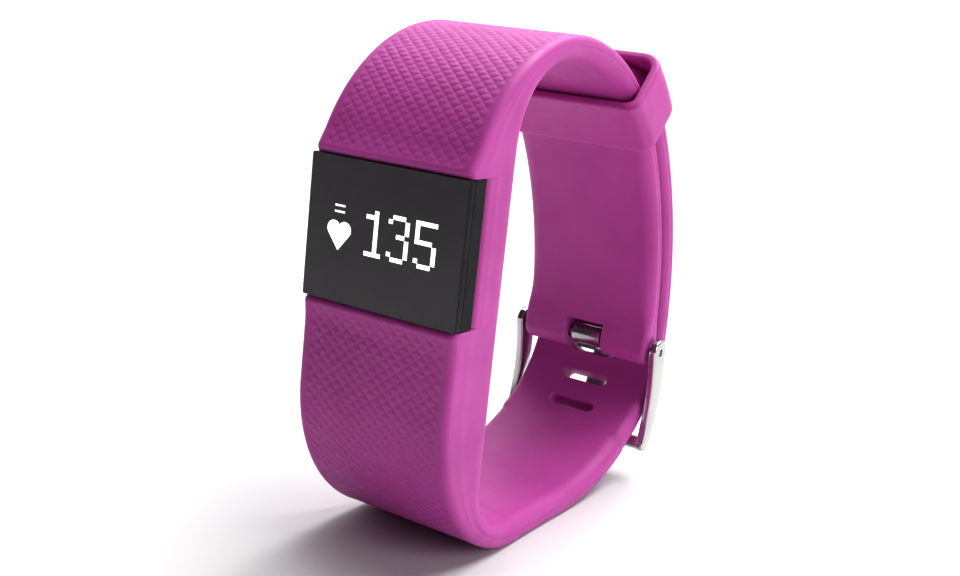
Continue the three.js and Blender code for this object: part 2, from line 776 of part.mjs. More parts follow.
// ---------------------------------------------------------------- assembly
const finishes = {
  silicone: { color: 0xa8338c, roughness: 0.55, metalness: 0 },
  polished_steel: { color: 0xd2d0cc, roughness: 0.18, metalness: 1 },
  black_gloss: { color: 0x1b1a1c, roughness: 0.22, metalness: 0 },
  black_matte: { color: 0x151416, roughness: 0.5, metalness: 0 },
  display_glass: { color: 0x0a0a0d, roughness: 0.1, metalness: 0 },
  ribbon: { color: 0xb5762a, roughness: 0.45, metalness: 0 },
  board: { color: 0x1d5b34, roughness: 0.5, metalness: 0 },
  chip: { color: 0x222326, roughness: 0.6, metalness: 0 },
  ceramic: { color: 0xd9d4c8, roughness: 0.5, metalness: 0 },
  cell_wrap: { color: 0xb9bcc2, roughness: 0.35, metalness: 0.8 },
  seal: { color: 0x2a2a2c, roughness: 0.8, metalness: 0 },
  led_green: { color: 0x5fd35a, roughness: 0.3, metalness: 0 },
  sensor_dark: { color: 0x2b1d2e, roughness: 0.15, metalness: 0 },
  gold: { color: 0xd9a441, roughness: 0.25, metalness: 1 },
};

const group = new THREE.Group();
function place(name, shape, finish) {
  const geometry = shape instanceof THREE.BufferGeometry ? shape : toGeometry(shape);
  const mesh = new THREE.Mesh(geometry, new THREE.MeshStandardMaterial(finishes[finish]));
  mesh.name = name;
  group.add(mesh);
}

place('band_body', bandBody, 'silicone');
place('keeper_loop', keeper, 'silicone');
place('buckle_frame', frame, 'polished_steel');
place('buckle_tongue', tongue, 'polished_steel');
place('spring_bar_tube', tube, 'polished_steel');
place('spring_bar_tip_left', tipLeft, 'polished_steel');
place('spring_bar_tip_right', tipRight, 'polished_steel');
place('spring_bar_spring', spring, 'polished_steel');
place('display_lens', lens, 'black_gloss');
place('front_case', frontCase, 'black_matte');
place('case_gasket', gasket, 'seal');
place('rear_case', rearCase, 'black_matte');
place('oled_panel', oled, 'display_glass');
place('oled_ribbon', flex, 'ribbon');
place('main_board', board, 'board');
place('processor_chip', processor, 'chip');
place('motion_sensor_chip', motionChip, 'chip');
place('antenna_chip', antenna, 'ceramic');
place('battery_cell', battery, 'cell_wrap');
place('vibration_motor', motor, 'polished_steel');
place('optic_board', opticBoard, 'board');
place('pulse_led_upper', led(ledOffset), 'led_green');
place('pulse_led_lower', led(-ledOffset), 'led_green');
place('pulse_photodiode', diode, 'chip');
place('sensor_window', sensorWindow, 'sensor_dark');
place('charge_contact_left', contact(-contactOffset), 'gold');
place('charge_contact_right', contact(contactOffset), 'gold');

// The whole part stands on its flat underside, with the origin below its middle.
const bounds = new THREE.Box3().setFromObject(group, true);
const shift = new THREE.Vector3(
  -(bounds.min.x + bounds.max.x) / 2,
  -(bounds.min.y + bounds.max.y) / 2,
  -bounds.min.z,
);
for (const mesh of group.children) {
  mesh.geometry.translate(shift.x, shift.y, shift.z);
}

export default group;
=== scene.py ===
"""Wrist activity tracker on a closed silicone band: finished surfaces, lights and camera."""
import math

import bmesh
import bpy
import numpy as np
from mathutils import Matrix, Vector


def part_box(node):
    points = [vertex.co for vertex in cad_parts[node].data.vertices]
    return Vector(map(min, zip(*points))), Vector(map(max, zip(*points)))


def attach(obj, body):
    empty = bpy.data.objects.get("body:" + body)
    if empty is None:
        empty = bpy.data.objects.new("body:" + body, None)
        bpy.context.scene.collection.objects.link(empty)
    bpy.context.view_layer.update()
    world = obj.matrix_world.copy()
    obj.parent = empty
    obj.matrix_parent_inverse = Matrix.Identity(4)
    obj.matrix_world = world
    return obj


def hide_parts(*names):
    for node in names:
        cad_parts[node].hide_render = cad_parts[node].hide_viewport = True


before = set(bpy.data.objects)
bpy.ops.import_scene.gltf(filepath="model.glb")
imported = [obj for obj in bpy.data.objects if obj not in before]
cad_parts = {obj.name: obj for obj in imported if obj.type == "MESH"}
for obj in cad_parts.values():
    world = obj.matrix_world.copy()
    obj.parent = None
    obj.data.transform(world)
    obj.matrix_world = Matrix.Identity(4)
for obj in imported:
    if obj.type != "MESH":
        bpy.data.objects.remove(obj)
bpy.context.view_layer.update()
MM = 0.001

# ---------------------------------------------------------------- sizes, in millimetres
BAND_WIDTH = 20.0
STRAP_WIDTH = 19.0
THICKNESS = 3.0
TAPER = (6.0, 26.0)                     # depths between which the band narrows to the strap
DISPLAY_HEIGHT = 15.4
DISPLAY_DEPTH = 3.0
LENS = 0.9
PROUD = 0.3
CLEAR = 0.1
POD_DEPTH = 9.4
CHIN = 9.5
BROW_FILLET, CHIN_FILLET = 9.0, 6.5
BROW_LEAN, BROW_R = 18.0, 21.2
CROWN_R, CROWN_TURN = 26.5, 55.8
BACK_R, BACK_TURN = 52.4, 31.6
CHIN_R, CHIN_TURN = 19.0, 75.0
HEEL_R = 14.0
REAR_R, REAR_TURN = 32.0, 35.0
TAIL_TO_STRAP, TIP_HEADING, TIP = 0.35, 125.0, 5.0
SLOT, PLAIN_SLOT = (6.8, 1.9), 1.5
SLOT_PITCH, SLOT_RADIAL = 5.4, 15.0
SLOTS = (-2, 7)
TUBE_R, PIN_CLEAR, EYE_WALL, EYE_DROP, EYE_TO_TAIL = 0.75, 0.12, 1.2, 2.0, 0.43
KEEPER_LENGTH, KEEPER_WALL, KEEPER_CLEAR, KEEPER_HEADING = 7.8, 1.2, 0.25, 133.3
FRAME_GAP, ARM, ARM_TOP, ARM_FOOT, ARM_BOW = 0.4, 1.1, 1.75, 2.1, 0.9
REACH, BAR_R, BAR_CLEAR = 13.0, 0.95, 0.35
TONGUE = (3.0, 0.9, 0.35)               # width, thickness, clear of the strap
TONGUE_BEND, TONGUE_REST, TONGUE_OVERHANG = 0.9, 0.3, 2.5
TONGUE_NOTCH, SEAT_SIDE = 0.35, 0.3     # depth of its seat in the bar, free space beside it
BARREL = (4.4, 0.5, 0.6)                # width, wall, gap to the notch in the strap
PIN_R = 0.38
TUB, TUB_DEPTH, PAD = (16.4, 14.2), 8.4, (12.0, 9.6)

lens_low, lens_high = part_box("display_lens")
DEPTH0 = lens_low[1] / MM
HEIGHT0 = (lens_low[2] + lens_high[2]) / 2 / MM


def sin(a):
    return math.sin(math.radians(a))


def cos(a):
    return math.cos(math.radians(a))


# ---------------------------------------------------------------- side view of the band
class Path:
    """Straight and curved stretches in the side view; poses are depth, height, heading."""

    def __init__(self, start, moves):
        self.parts = []
        self.length = 0.0
        pose = start
        for radius, amount in moves:
            span = amount if radius == 0 else abs(radius) * math.radians(amount)
            self.parts.append((self.length, span, pose, radius, amount))
            self.length += span
            pose = self._pose(self.parts[-1], span)
        self.end = pose

    @staticmethod
    def _pose(part, s):
        _, _, (y, z, a), r, _ = part
        if r == 0:
            return (y + s * sin(a), z + s * cos(a), a)
        b = a + math.degrees(s / r)
        return (y + r * (cos(a) - cos(b)), z + r * (sin(b) - sin(a)), b)

    def at(self, s):
        for part in self.parts:
            if s <= part[0] + part[1]:
                break
        return self._pose(part, s - part[0])

    def side(self, s, right):
        y, z, a = self.at(s)
        return (y + right * cos(a), z - right * sin(a))

    def reach(self, k, heading):
        start, span, pose, _, turn = self.parts[k]
        return start + span * abs(heading - pose[2]) / turn

    def centre(self, k):
        _, _, (y, z, a), r, _ = self.parts[k]
        return (y + r * cos(a), z - r * sin(a))


NOTCH = DISPLAY_HEIGHT / 2 + CLEAR
EYE_BORE = TUBE_R + PIN_CLEAR
EYE_R = EYE_BORE + EYE_WALL
TAIL_GAP = EYE_R - THICKNESS / 2 + EYE_TO_TAIL
TAIL_OFFSET = TAIL_GAP + THICKNESS
upper = Path((PROUD, NOTCH, BROW_LEAN),
             [(BROW_R, 90 - BROW_LEAN), (CROWN_R, CROWN_TURN), (BACK_R, BACK_TURN)])
END_Y, END_Z, END_A = upper.end
TAIL_Y = END_Y - TAIL_OFFSET * cos(END_A)
TAIL_Z = END_Z + TAIL_OFFSET * sin(END_A)
TAIL_A = END_A - 180
REAR_A = 90 - REAR_TURN
FLOOR = -NOTCH - CHIN - CHIN_R * sin(CHIN_TURN) - HEEL_R * (1 - sin(CHIN_TURN))
BEND_R = (TAIL_Z - FLOOR - REAR_R * (1 - sin(REAR_A))) / (sin(REAR_A) - sin(TAIL_A))
FLAT = (TAIL_Y - PROUD - CHIN_R * (1 - cos(CHIN_TURN)) - HEEL_R * cos(CHIN_TURN)
        - REAR_R * cos(REAR_A) - BEND_R * (cos(TAIL_A) - cos(REAR_A)))
CROWN_C = upper.centre(1)
HUG_R = CROWN_R + THICKNESS + TAIL_TO_STRAP
IN_Y, IN_Z = -cos(TAIL_A), sin(TAIL_A)
OFF_Y, OFF_Z = TAIL_Y - CROWN_C[0], TAIL_Z - CROWN_C[1]
TAIL_R = (HUG_R ** 2 - OFF_Y ** 2 - OFF_Z ** 2) / (2 * (OFF_Y * IN_Y + OFF_Z * IN_Z + HUG_R))
HUG_A = math.degrees(math.atan2(-(CROWN_C[1] - TAIL_Z - TAIL_R * IN_Z),
                                CROWN_C[0] - TAIL_Y - TAIL_R * IN_Y))
lower = Path((PROUD, -NOTCH, 180), [
    (0, CHIN), (-CHIN_R, CHIN_TURN), (-HEEL_R, 90 - CHIN_TURN), (0, FLAT),
    (-REAR_R, REAR_TURN), (-BEND_R, REAR_A - TAIL_A),
    (-TAIL_R, TAIL_A - HUG_A), (-HUG_R, HUG_A - TIP_HEADING + 180)])
EYE_Y = END_Y + THICKNESS / 2 * cos(END_A) + EYE_DROP * sin(END_A)
EYE_Z = END_Z - THICKNESS / 2 * sin(END_A) + EYE_DROP * cos(END_A)
BROW_C = upper.centre(0)
CHIN_C, BEND_C = lower.centre(1), lower.centre(5)


def fillet(centre, face_r, r, up):
    """Centre and heading of the fillet from the upright pod back to a strap's inside."""
    y = POD_DEPTH + r - centre[0]
    z = up * math.sqrt((face_r - THICKNESS - r) ** 2 - y * y)
    return (centre[0] + y, centre[1] + z), math.degrees(math.atan2(abs(z), -y))


def pod_back(centre, meet, r, up, f):
    """Point on the wrist side of the pod: f 0 at the notch's edge, 1 where the strap starts."""
    straight = abs(centre[1] - up * NOTCH)
    arc = math.radians(meet) * r
    d = f * (straight + arc)
    if d <= straight:
        return (POD_DEPTH, up * (NOTCH + d))
    t = math.degrees((d - straight) / r)
    return (centre[0] - r * cos(t), centre[1] + up * r * sin(t))


brow_f = fillet(BROW_C, BROW_R, BROW_FILLET, 1)
chin_f = fillet(CHIN_C, CHIN_R, CHIN_FILLET, -1)
brow_meet = upper.reach(0, brow_f[1])
chin_meet = lower.reach(1, 180 - chin_f[1])


def half_width(y):
    t = min(1.0, max(0.0, (y - TAPER[0]) / (TAPER[1] - TAPER[0])))
    return (BAND_WIDTH + (STRAP_WIDTH - BAND_WIDTH) * t * t * (3 - 2 * t)) / 2


# ---------------------------------------------------------------- mesh helpers
SOFT_ANGLE, HARD_ANGLE = 40.0, 35.0     # creases sharper than this stay sharp


def to_frame(points):
    """Millimetres about the display's face centre to metres in the part's frame."""
    p = np.asarray(points, float) + np.array([0.0, DEPTH0, HEIGHT0])
    return p * MM


def new_object(name, points, faces, angle=SOFT_ANGLE, local=False):
    mesh = bpy.data.meshes.new(name)
    co = np.asarray(points, float) if local else to_frame(points)
    mesh.from_pydata(co.tolist(), [], [tuple(map(int, f)) for f in faces])
    mesh.update()
    obj = bpy.data.objects.new(name, mesh)
    bpy.context.scene.collection.objects.link(obj)
    soften(obj, angle)
    return obj


def soften(obj, angle=SOFT_ANGLE):
    """Smooth shading, apart from the sharp creases."""
    for poly in obj.data.polygons:
        poly.use_smooth = True
    obj.data.set_sharp_from_angle(angle=math.radians(angle))


def grid_faces(rows, cols, closed_rows=False, closed_cols=True):
    faces = []
    for i in range(rows if closed_rows else rows - 1):
        j = (i + 1) % rows
        for k in range(cols if closed_cols else cols - 1):
            m = (k + 1) % cols
            faces.append((i * cols + k, i * cols + m, j * cols + m, j * cols + k))
    return faces


def outward(obj):
    """Faces all turned outwards."""
    bm = bmesh.new()
    bm.from_mesh(obj.data)
    bmesh.ops.recalc_face_normals(bm, faces=bm.faces)
    bm.to_mesh(obj.data)
    bm.free()


def loft(name, rings, angle=SOFT_ANGLE, closed=False):
    """A skin over rings of equal point count, capped at both ends unless closed."""
    rings = np.asarray(rings, float)
    rows, cols, _ = rings.shape
    points = rings.reshape(-1, 3)
    faces = grid_faces(rows, cols, closed_rows=closed)
    if not closed:
        faces.append(tuple(range(cols))[::-1])
        faces.append(tuple((rows - 1) * cols + k for k in range(cols)))
    obj = new_object(name, points, faces, angle)
    outward(obj)
    return obj


def prism(name, outline, x0, x1, edge=0.0, steps=4):
    """Side-view outline pulled along X, with rounded ends."""
    pts = np.asarray(outline, float)
    nxt, prv = np.roll(pts, -1, 0), np.roll(pts, 1, 0)
    d = nxt - prv
    d /= np.linalg.norm(d, axis=1)[:, None]
    area = np.sum(pts[:, 0] * nxt[:, 1] - nxt[:, 0] * pts[:, 1])
    inward = np.stack([-d[:, 1], d[:, 0]], 1) * (1 if area > 0 else -1)
    levels = [(x0, 0.0), (x1, 0.0)]
    if edge > 0:
        ts = np.linspace(0, 90, steps + 1)
        levels = [(x0 + edge * (1 - sin(t)), edge * (1 - cos(t))) for t in ts[::-1]]
        levels += [(x1 - edge * (1 - sin(t)), edge * (1 - cos(t))) for t in ts]
    rings = []
    for x, inset in levels:
        q = pts + inward * inset
        rings.append(np.column_stack([np.full(len(q), x), q]))
    return loft(name, rings, HARD_ANGLE)


def lathe_x(name, profile, y, z, steps):
    """Profile of (x, radius), from the axis back to the axis, turned about an axis along X."""
    rings = []
    for k in range(steps):
        t = 360.0 * k / steps
        rings.append([(x, y + r * cos(t), z + r * sin(t)) for x, r in profile])
    rings = np.asarray(rings)
    rows, cols, _ = rings.shape
    faces = grid_faces(rows, cols, closed_rows=True, closed_cols=False)
    obj = new_object(name, rings.reshape(-1, 3), faces, HARD_ANGLE)
    bm = bmesh.new()
    bm.from_mesh(obj.data)
    bmesh.ops.remove_doubles(bm, verts=bm.verts, dist=1e-7)
    bm.to_mesh(obj.data)
    bm.free()
    outward(obj)
    return obj


def rounded_rect(w, h, r, n=6, low=None):
    """Half sizes w and h; corner radius r above and, if given, another one below."""
    pts = []
    b = r if low is None else low
    for cx, cz, a0, r in ((w - r, h - r, 0, r), (-w + r, h - r, 90, r),
                          (-w + b, -h + b, 180, b), (w - b, -h + b, 270, b)):
        for k in range(n + 1):
            a = a0 + 90.0 * k / n
            pts.append((cx + r * cos(a), cz + r * sin(a)))
    return pts


def slab(name, w, h, y0, y1, corner, edge, steps=3, edge_back=None):
    """Rounded plate facing the front: full width and height, from depth y0 to y1."""
    back = edge if edge_back is None else edge_back
    rings = []
    ts = np.linspace(0, 90, steps + 1)
    for t in ts[::-1]:
        inset = edge * (1 - cos(t))
        rings.append((y0 + edge * (1 - sin(t)), inset))
    for t in ts:
        inset = back * (1 - cos(t))
        rings.append((y1 - back * (1 - sin(t)), inset))
    out = []
    for y, inset in rings:
        c = max(corner - inset, 0.02)
        out.append([(x, y, z) for x, z in rounded_rect(w / 2 - inset, h / 2 - inset, c)])
    return loft(name, out, HARD_ANGLE)


def boolean(obj, others, operation="DIFFERENCE"):
    """Joins the other objects to this one, or cuts them from it, and removes them."""
    for other in others:
        mod = obj.modifiers.new("cut", "BOOLEAN")
        mod.operation = operation
        mod.solver = "MANIFOLD"
        mod.object = other
    deps = bpy.context.evaluated_depsgraph_get()
    mesh = bpy.data.meshes.new_from_object(obj.evaluated_get(deps))
    obj.modifiers.clear()
    old = obj.data
    obj.data = mesh
    bpy.data.meshes.remove(old)
    for other in others:
        bpy.data.objects.remove(other)
    return obj


# ---------------------------------------------------------------- silicone band
PLAIN_STEP, TEXTURE_STEP = 0.55, 0.13
OUTER_ROUND, INNER_ROUND = 0.8, 2.1
TAIL_ROUND, TAIL_INNER = 1.2, 1.19
BUMP_ACROSS, BUMP_ALONG, BUMP_HEIGHT = 1.53, 1.28, 0.11
ACROSS = 150
EYE_BLEND = 5.0


def smooth(t):
    t = np.clip(t, 0.0, 1.0)
    return t * t * (3 - 2 * t)


def diamonds(x, v):
    """Pillowed diamonds in offset rows, none quite as high as its neighbours."""
    height = np.zeros(np.shape(x))
    for shift in (0.0, 0.5):
        p, q = x / BUMP_ACROSS + shift, v / BUMP_ALONG + shift
        column, row = np.floor(p), np.floor(q)
        away = np.abs(p - column - 0.5) + np.abs(q - row - 0.5)
        level = 0.86 + 0.14 * np.sin(column * 12.9898 + row * 78.233 + shift * 9)
        pillow = 1 - np.clip(2 * away, 0, 1) ** 2.4
        height = np.maximum(height, pillow * level)
    return height


def section(w, thick, texture, inner_round, outer_round=OUTER_ROUND):
    """Points (x, depth below the outer face) round one cross-section of the band."""
    ro = min(outer_round, thick * 0.42, w * 0.9)
    rd = min(inner_round, thick * 0.5)
    rw = min(inner_round, w * 0.9)
    pts = []
    xs = np.linspace(-(w - ro), w - ro, ACROSS + 1)
    pts += list(zip(xs, -texture(xs)))
    for k in range(1, 8):
        t = 90.0 * k / 7
        pts.append((w - ro + ro * sin(t), ro * (1 - cos(t))))
    y0, y1 = ro, thick - rd
    for k, f in enumerate((0.12, 0.22, 0.3, 0.38, 0.55, 0.8, 1.0)):
        ridge = (0, 0, 0.04, 0, 0, 0, 0.03)[k]
        pts.append((w + ridge, y0 + (y1 - y0) * f))
    for k in range(1, 11):
        t = 9.0 * k
        pts.append((w - rw * (1 - cos(t)), thick - rd + rd * sin(t)))
    n_in = 26
    inner = [((w - rw) * (1 - 2 * k / n_in), thick) for k in range(1, n_in)]
    pts += inner
    for k in range(0, 11):
        t = 90 - 9.0 * k
        pts.append((-w + rw * (1 - cos(t)), thick - rd + rd * sin(t)))
    for k, f in enumerate((0.8, 0.55, 0.38, 0.3, 0.22, 0.12, 0.0)):
        ridge = (0, 0, 0, 0.04, 0, 0, 0)[k]
        pts.append((-w - ridge, y0 + (y1 - y0) * f))
    for k in range(1, 7):
        t = 90.0 - 90.0 * k / 7
        pts.append((-(w - ro) - ro * sin(t), ro * (1 - cos(t))))
    return np.asarray(pts)


def flush(side, s, right):
    """Beside the display the silicone swells until it is level with the glass."""
    swell = PROUD * (1 - float(smooth(s / 3.0)))
    rolled = 0.45 * (1 - math.sin(math.radians(min(90.0, 90.0 * s / 0.6))))
    return side(s, right * (rolled - swell))


def zone(v, start, stop, fade0, fade1):
    """1 between start and stop, fading to 0 at both."""
    return float(smooth((v - start) / fade0) * smooth((stop - v) / fade1))


def fine_steps(start, stop, step, first=0.0):
    """Distances with a few close ones where the silicone rolls in at the display."""
    return sorted(set([first, first + 0.05, first + 0.12, first + 0.22, first + 0.4]
                      + list(np.arange(start, stop, step))))


def band_rings():
    """Cross-sections from the spring bar over the crown, past the display, to the tail's tip."""
    stations = []   # outer, inner, distance for the texture, its strength, tip, inner rounding
    tex_top = upper.reach(0, 90) + 3.0
    tex_low = lower.reach(1, 180 - CHIN_TURN) + 2.0
    swelling = EYE_R - THICKNESS / 2
    for s in np.linspace(EYE_DROP, 0.0, 5)[:-1]:
        bulge = swelling * float(smooth((EYE_BLEND - EYE_DROP + s) / EYE_BLEND))
        y, z = END_Y + s * sin(END_A), END_Z + s * cos(END_A)
        outer = (y - bulge * cos(END_A), z + bulge * sin(END_A))
        thick = THICKNESS + bulge
        inner = (y + thick * cos(END_A), z - thick * sin(END_A))
        stations.append((outer, inner, 0.0, 0.0, 0.0, 0.7))
    s_values = fine_steps(0.6, tex_top, TEXTURE_STEP)
    s_values += list(np.arange(tex_top, upper.length, PLAIN_STEP)) + [upper.length]
    for s in reversed(s_values):
        left = EYE_BLEND - EYE_DROP - (upper.length - s)
        bulge = swelling * float(smooth(left / EYE_BLEND))
        rounding = 0.7 + (INNER_ROUND - 0.7) * (1 - float(smooth((left + 4.0) / 7.0)))
        outer = flush(upper.side, s, 1) if s < 3 else upper.side(s, -bulge)
        if s >= brow_meet:
            inner = upper.side(s, THICKNESS + bulge)
        else:
            inner = pod_back(brow_f[0], brow_f[1], BROW_FILLET, 1, s / brow_meet)
        stations.append((outer, inner, s, zone(s, 0.7, tex_top, 0.5, 9.0), 0.0, rounding))
    # the recess that the display block sits in
    recess = DISPLAY_DEPTH + CLEAR
    heights = [NOTCH - 0.02] + list(np.linspace(NOTCH - 0.5, -NOTCH + 0.5, 18)) + [-NOTCH + 0.02]
    for z in heights:
        stations.append(((recess, z), (POD_DEPTH, z), 0.0, 0.0, 0.0, INNER_ROUND))
    s_values = fine_steps(0.6, tex_low, TEXTURE_STEP)
    s_values += list(np.arange(tex_low, lower.length - TIP, PLAIN_STEP))
    s_values += list(lower.length - TIP * (1 - np.sin(np.linspace(0, np.pi / 2, 22))))
    for s in s_values:
        outer = flush(lower.side, s, -1) if s < 3 else lower.side(s, 0)
        if s >= chin_meet:
            inner = lower.side(s, -THICKNESS)
        else:
            inner = pod_back(chin_f[0], chin_f[1], CHIN_FILLET, -1, s / chin_meet)
        tip = max(0.0, (s - (lower.length - TIP)) / TIP)
        rounding = INNER_ROUND if s < tex_low + 30 else TAIL_INNER
        stations.append((outer, inner, -s, zone(s, 0.7, tex_low, 0.5, 8.0), tip, rounding))
    rings = []
    for (oy, oz), (iy, iz), v, strength, tip, rounding in stations:
        thick = math.hypot(iy - oy, iz - oz)
        dy, dz = (iy - oy) / thick, (iz - oz) / thick
        w = half_width(oy) * math.sqrt(max(1 - tip * tip, 0.004))
        squeeze = 1 - 0.35 * float(smooth((tip - 0.75) / 0.25))
        lift = thick * (1 - squeeze) / 2

        def texture(xs):
            if strength <= 0:
                return np.zeros(len(xs))
            margin = smooth((w - 1.0 - np.abs(xs)) / 0.45)
            return BUMP_HEIGHT * (strength * margin * diamonds(xs, v) - strength * margin)
        pts = section(w, thick * squeeze, texture, rounding,
                      TAIL_ROUND if rounding == TAIL_INNER else OUTER_ROUND)
        depth = pts[:, 1] + lift
        rings.append(np.column_stack([pts[:, 0], oy + dy * depth, oz + dz * depth]))
    return rings


def slot_cutter(k):
    """A slot through the strap, its rims eased a little at both faces."""
    s = lower.reach(5, SLOT_RADIAL) + k * SLOT_PITCH
    y, z, a = lower.at(s)
    height = SLOT[1] if k == 0 else PLAIN_SLOT
    rings = []
    for depth, flare in ((-0.25, 0.2), (0.0, 0.14), (0.1, 0.05), (0.25, 0.0),
                         (THICKNESS - 0.25, 0.0), (THICKNESS - 0.1, 0.05),
                         (THICKNESS, 0.14), (THICKNESS + 0.25, 0.2)):
        ring = []
        h = height / 2 + flare
        for u, v in rounded_rect(SLOT[0] / 2 + flare, h, h - 0.01, 10):
            ring.append((u, y + v * sin(a) - depth * cos(a), z + v * cos(a) + depth * sin(a)))
        rings.append(ring)
    return loft("slot_tool", rings)


def build_band():
    band = loft("silicone_band", band_rings())
    half = STRAP_WIDTH / 2
    r = 0.7
    profile = [(-half + r * (1 - sin(t)), EYE_R - r * (1 - cos(t))) for t in (90, 60, 30, 0)]
    profile += [(half - r * (1 - sin(t)), EYE_R - r * (1 - cos(t))) for t in (0, 30, 60, 90)]
    profile = [(-half, 0.0)] + profile + [(half, 0.0)]
    eye = lathe_x("eye", profile, EYE_Y, EYE_Z, 64)
    boolean(band, [eye], "UNION")
    notch_x = BARREL[0] / 2 + BARREL[2]
    tools = [slot_cutter(k) for k in range(SLOTS[0], SLOTS[1] + 1)]
    tools.append(lathe_x("bore", [(-30, 0), (-30, EYE_BORE), (30, EYE_BORE), (30, 0)],
                         EYE_Y, EYE_Z, 48))
    tools.append(prism("notch", [(EYE_Y - EYE_R - 1, EYE_Z - EYE_R - 1),
                                 (EYE_Y + EYE_R + 0.2, EYE_Z - EYE_R - 1),
                                 (EYE_Y + EYE_R + 0.2, EYE_Z + EYE_R + 0.3),
                                 (EYE_Y - EYE_R - 1, EYE_Z + EYE_R + 0.3)],
                       -notch_x, notch_x))
    tools.append(slab("bay", TUB[0] + 2 * CLEAR, TUB[1] + 2 * CLEAR, 1.0, TUB_DEPTH + CLEAR,
                      corner=0.2, edge=0.05))
    tools.append(slab("window", PAD[0] + 2 * CLEAR, PAD[1] + 2 * CLEAR, 5.0, POD_DEPTH + 2,
                      corner=1.3, edge=0.05))
    boolean(band, tools)
    soften(band, 38)
    return band


# ---------------------------------------------------------------- keeper loop
KEEPER_INNER, KEEPER_OUTER = (1.7, 0.9), (3.0, 1.5)     # corner radii away from the wrist, by it
KEEPER_EDGE = 0.42


def build_keeper():
    half_x = STRAP_WIDTH / 2 + KEEPER_CLEAR
    low = CROWN_R - THICKNESS - KEEPER_CLEAR
    high = HUG_R + KEEPER_CLEAR
    middle = (low + high) / 2
    half_r = (high - low) / 2
    inner = rounded_rect(half_x, half_r, KEEPER_INNER[0], 8, low=KEEPER_INNER[1])
    outer = rounded_rect(half_x + KEEPER_WALL, half_r + KEEPER_WALL, KEEPER_OUTER[0], 8,
                         low=KEEPER_OUTER[1])

    def fill(loop, n=10):
        out = []
        for i, (x, r) in enumerate(loop):
            x1, r1 = loop[(i + 1) % len(loop)]
            out.append((x, r))
            if math.hypot(x1 - x, r1 - r) > 2.0:
                out += [(x + (x1 - x) * k / n, r + (r1 - r) * k / n) for k in range(1, n)]
        return out
    inner, outer = fill(inner), fill(outer)
    section_pts = rounded_rect(KEEPER_LENGTH / 2, KEEPER_WALL / 2, KEEPER_EDGE, 6)
    dense = fill(section_pts, 12)
    rings = []
    for (xi, ri), (xo, ro) in zip(inner, outer):
        ring = []
        for u, v in dense:
            f = 0.5 + v / KEEPER_WALL
            x = xi + (xo - xi) * f
            rho = middle + ri + (ro - ri) * f
            h = KEEPER_HEADING + math.degrees(math.asin(u / rho))
            ring.append((x, CROWN_C[0] - rho * cos(h), CROWN_C[1] + rho * sin(h)))
        rings.append(ring)
    return loft("keeper_band", rings, 40, closed=True)


# ---------------------------------------------------------------- buckle
ARM_IN = STRAP_WIDTH / 2 + FRAME_GAP
ARM_OUT = ARM_IN + ARM


def bar_place():
    """The outer bar lies beside the lower strap, at its reach from the spring bar."""
    away = BAR_CLEAR + BAR_R
    before, after = lower.parts[4][0], lower.reach(5, SLOT_RADIAL)
    for _ in range(40):
        s = (before + after) / 2
        y, z = lower.side(s, away)
        if math.hypot(y - EYE_Y, z - EYE_Z) > REACH:
            before = s
        else:
            after = s
    return lower.side(after, away)


BAR_Y, BAR_Z = bar_place()
BAR_ORBIT = math.hypot(BAR_Y - BEND_C[0], BAR_Z - BEND_C[1])
BAR_H = math.degrees(math.atan2(-(BAR_Z - BEND_C[1]), BAR_Y - BEND_C[0]))
NOTCH_ORBIT = BAR_ORBIT + BAR_R - TONGUE_NOTCH


def arm_outline(steps=40):
    dy, dz = BAR_Y - EYE_Y, BAR_Z - EYE_Z
    length = math.hypot(dy, dz)
    ay, az = dy / length, dz / length

    def place(u, v):
        return (EYE_Y + ay * u - az * v, EYE_Z + az * u + ay * v)

    def half(i):
        return ARM_TOP + (ARM_FOOT / 2 - ARM_TOP) * i / steps

    bow = [ARM_BOW * sin(180.0 * i / steps) for i in range(steps + 1)]
    pts = [place(length * i / steps, half(i) + bow[i]) for i in range(steps + 1)]
    pts += [place(length + ARM_FOOT / 2 * cos(t), ARM_FOOT / 2 * sin(t))
            for t in range(80, -81, -10)]
    pts += [place(length * i / steps, -half(i) + bow[i]) for i in range(steps, -1, -1)]
    pts += [place(ARM_TOP * cos(t), ARM_TOP * sin(t)) for t in range(262, 90, -8)]
    return pts


def bend_sector(inner, outer, h0, h1, steps=24):
    def place(r, h):
        return (BEND_C[0] + r * cos(h), BEND_C[1] - r * sin(h))
    hs = np.linspace(h0, h1, steps)
    return [place(outer, h) for h in hs] + [place(inner, h) for h in hs[::-1]]


def rod(name, y, z, r, x0, x1, edge=0.0, steps=48):
    profile = [(x0, 0.0)]
    if edge:
        profile += [(x0 + edge * (1 - sin(t)), r - edge * (1 - cos(t))) for t in (90, 60, 30, 0)]
        profile += [(x1 - edge * (1 - sin(t)), r - edge * (1 - cos(t))) for t in (0, 30, 60, 90)]
    else:
        profile += [(x0, r), (x1, r)]
    profile.append((x1, 0.0))
    return lathe_x(name, profile, y, z, steps)


def build_frame():
    arm = prism("buckle_u_frame", arm_outline(), ARM_IN, ARM_OUT, 0.3, 5)
    other = prism("arm", arm_outline(), -ARM_OUT, -ARM_IN, 0.3, 5)
    bar = rod("bar", BAR_Y, BAR_Z, BAR_R, -ARM_IN - ARM / 2, ARM_IN + ARM / 2, steps=56)
    boolean(arm, [other, bar], "UNION")
    seat = prism("seat", bend_sector(NOTCH_ORBIT, NOTCH_ORBIT + 3, BAR_H - 12, BAR_H + 12),
                 -TONGUE[0] / 2 - SEAT_SIDE, TONGUE[0] / 2 + SEAT_SIDE)
    bore = rod("bore", EYE_Y, EYE_Z, PIN_R + PIN_CLEAR, -30, 30, steps=32)
    boolean(arm, [seat, bore])
    soften(arm, 32)
    return arm


